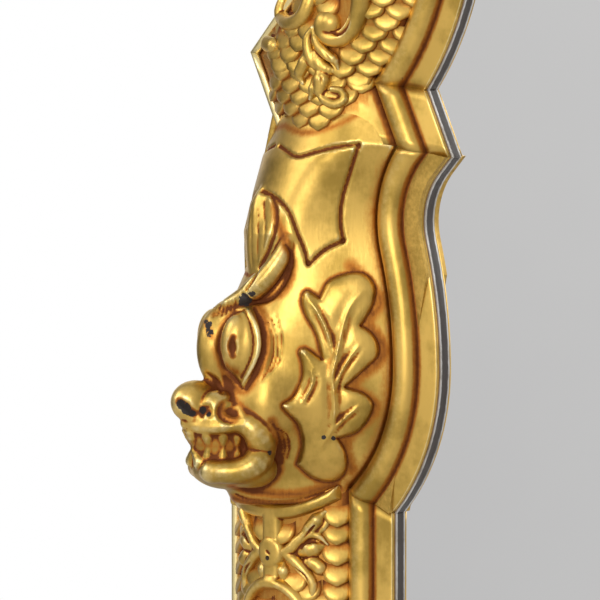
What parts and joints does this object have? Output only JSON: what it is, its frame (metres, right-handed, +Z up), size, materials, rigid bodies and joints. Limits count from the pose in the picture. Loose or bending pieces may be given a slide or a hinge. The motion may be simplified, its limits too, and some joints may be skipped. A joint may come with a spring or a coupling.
{
  "type": "carved wall mirror",
  "caption": "Arched wall mirror in a carved gilt frame with scaled scrolls, beast masks with cheek leaves on the shoulders, a silvered slip and a boarded back.",
  "frame": {"origin": "middle of the bottom rail's back face, on the wall plane", "axes": "+X to the right seen from the front, +Y into the wall, +Z up"},
  "size_m": [0.749, 0.0953, 1.292],
  "materials": {
    "gilt_wood": "worn gold leaf over red-brown bole",
    "silvered_wood": "silver leaf",
    "mirror_glass": "polished, silvered behind",
    "card": "plain backing card",
    "board_wood": "planed softwood, aged",
    "key_wood": "planed hardwood",
    "iron_pin": "dark",
    "steel": "satin",
    "brass": "satin"
  },
  "bodies": {
    "frame": {"left_stile": "gilt_wood", "right_stile": "gilt_wood", "left_shoulder": "gilt_wood", "right_shoulder": "gilt_wood", "left_knee": "gilt_wood", "right_knee": "gilt_wood", "left_scroll": "gilt_wood", "right_scroll": "gilt_wood", "left_arch": "gilt_wood", "right_arch": "gilt_wood", "left_mask": "gilt_wood", "right_mask": "gilt_wood", "left_mask_inner_leaf": "gilt_wood", "right_mask_inner_leaf": "gilt_wood", "left_mask_outer_leaf": "gilt_wood", "right_mask_outer_leaf": "gilt_wood", "left_collar_strap": "gilt_wood", "right_collar_strap": "gilt_wood", "left_inner_sprig": "gilt_wood", "right_inner_sprig": "gilt_wood", "left_outer_sprig": "gilt_wood", "right_outer_sprig": "gilt_wood", "left_scroll_volutes": "gilt_wood", "right_scroll_volutes": "gilt_wood", "left_scroll_husk": "gilt_wood", "right_scroll_husk": "gilt_wood", "bottom_rail": "gilt_wood", "crest_cartouche": "gilt_wood", "rail_cartouche": "gilt_wood", "sight_slips": "silvered_wood", "mirror_plate": "mirror_glass", "backing_card": "card", "backboard": "board_wood", "joint_keys": "key_wood", "mask_dowels": "key_wood", "strap_pins": "iron_pin", "turn_button_screws": "steel", "hanger_screws": "steel", "left_hanger_strap": "steel", "right_hanger_strap": "steel"},
    "turn_button_1": {"turn_button_1": "brass"},
    "turn_button_2": {"turn_button_2": "brass"},
    "turn_button_3": {"turn_button_3": "brass"},
    "turn_button_4": {"turn_button_4": "brass"},
    "turn_button_5": {"turn_button_5": "brass"},
    "turn_button_6": {"turn_button_6": "brass"},
    "turn_button_7": {"turn_button_7": "brass"},
    "turn_button_8": {"turn_button_8": "brass"},
    "left_hanger_ring": {"left_hanger_ring": "steel"},
    "right_hanger_ring": {"right_hanger_ring": "steel"}
  },
  "joints": [
    {"name": "turn_button_1_pivot", "type": "hinge", "parent": "frame", "child": "turn_button_1", "pos_m": [-0.2885, -0.0058, 0.18625], "axis": [0, 1, 0], "range_deg": [-90, 90]},
    {"name": "turn_button_2_pivot", "type": "hinge", "parent": "frame", "child": "turn_button_2", "pos_m": [-0.2885, -0.0058, 0.43125], "axis": [0, 1, 0], "range_deg": [-90, 90]},
    {"name": "turn_button_3_pivot", "type": "hinge", "parent": "frame", "child": "turn_button_3", "pos_m": [0.2885, -0.0058, 0.43125], "axis": [0, 1, 0], "range_deg": [-90, 90]},
    {"name": "turn_button_4_pivot", "type": "hinge", "parent": "frame", "child": "turn_button_4", "pos_m": [0.2885, -0.0058, 0.18625], "axis": [0, 1, 0], "range_deg": [-90, 90]},
    {"name": "turn_button_5_pivot", "type": "hinge", "parent": "frame", "child": "turn_button_5", "pos_m": [-0.135, -0.0058, 0.04675], "axis": [0, 1, 0], "range_deg": [-90, 90]},
    {"name": "turn_button_6_pivot", "type": "hinge", "parent": "frame", "child": "turn_button_6", "pos_m": [0.135, -0.0058, 0.04675], "axis": [0, 1, 0], "range_deg": [-90, 90]},
    {"name": "turn_button_7_pivot", "type": "hinge", "parent": "frame", "child": "turn_button_7", "pos_m": [-0.10976, -0.0058, 1.17633], "axis": [0, 1, 0], "range_deg": [-90, 90]},
    {"name": "turn_button_8_pivot", "type": "hinge", "parent": "frame", "child": "turn_button_8", "pos_m": [0.10976, -0.0058, 1.17633], "axis": [0, 1, 0], "range_deg": [-90, 90]},
    {"name": "left_hanger_ring_swing", "type": "hinge", "parent": "frame", "child": "left_hanger_ring", "pos_m": [-0.33525, -0.0073, 0.54825], "axis": [1, 0, 0], "range_deg": [0, 175]},
    {"name": "right_hanger_ring_swing", "type": "hinge", "parent": "frame", "child": "right_hanger_ring", "pos_m": [0.33525, -0.0073, 0.54825], "axis": [1, 0, 0], "range_deg": [0, 175]}
  ]
}
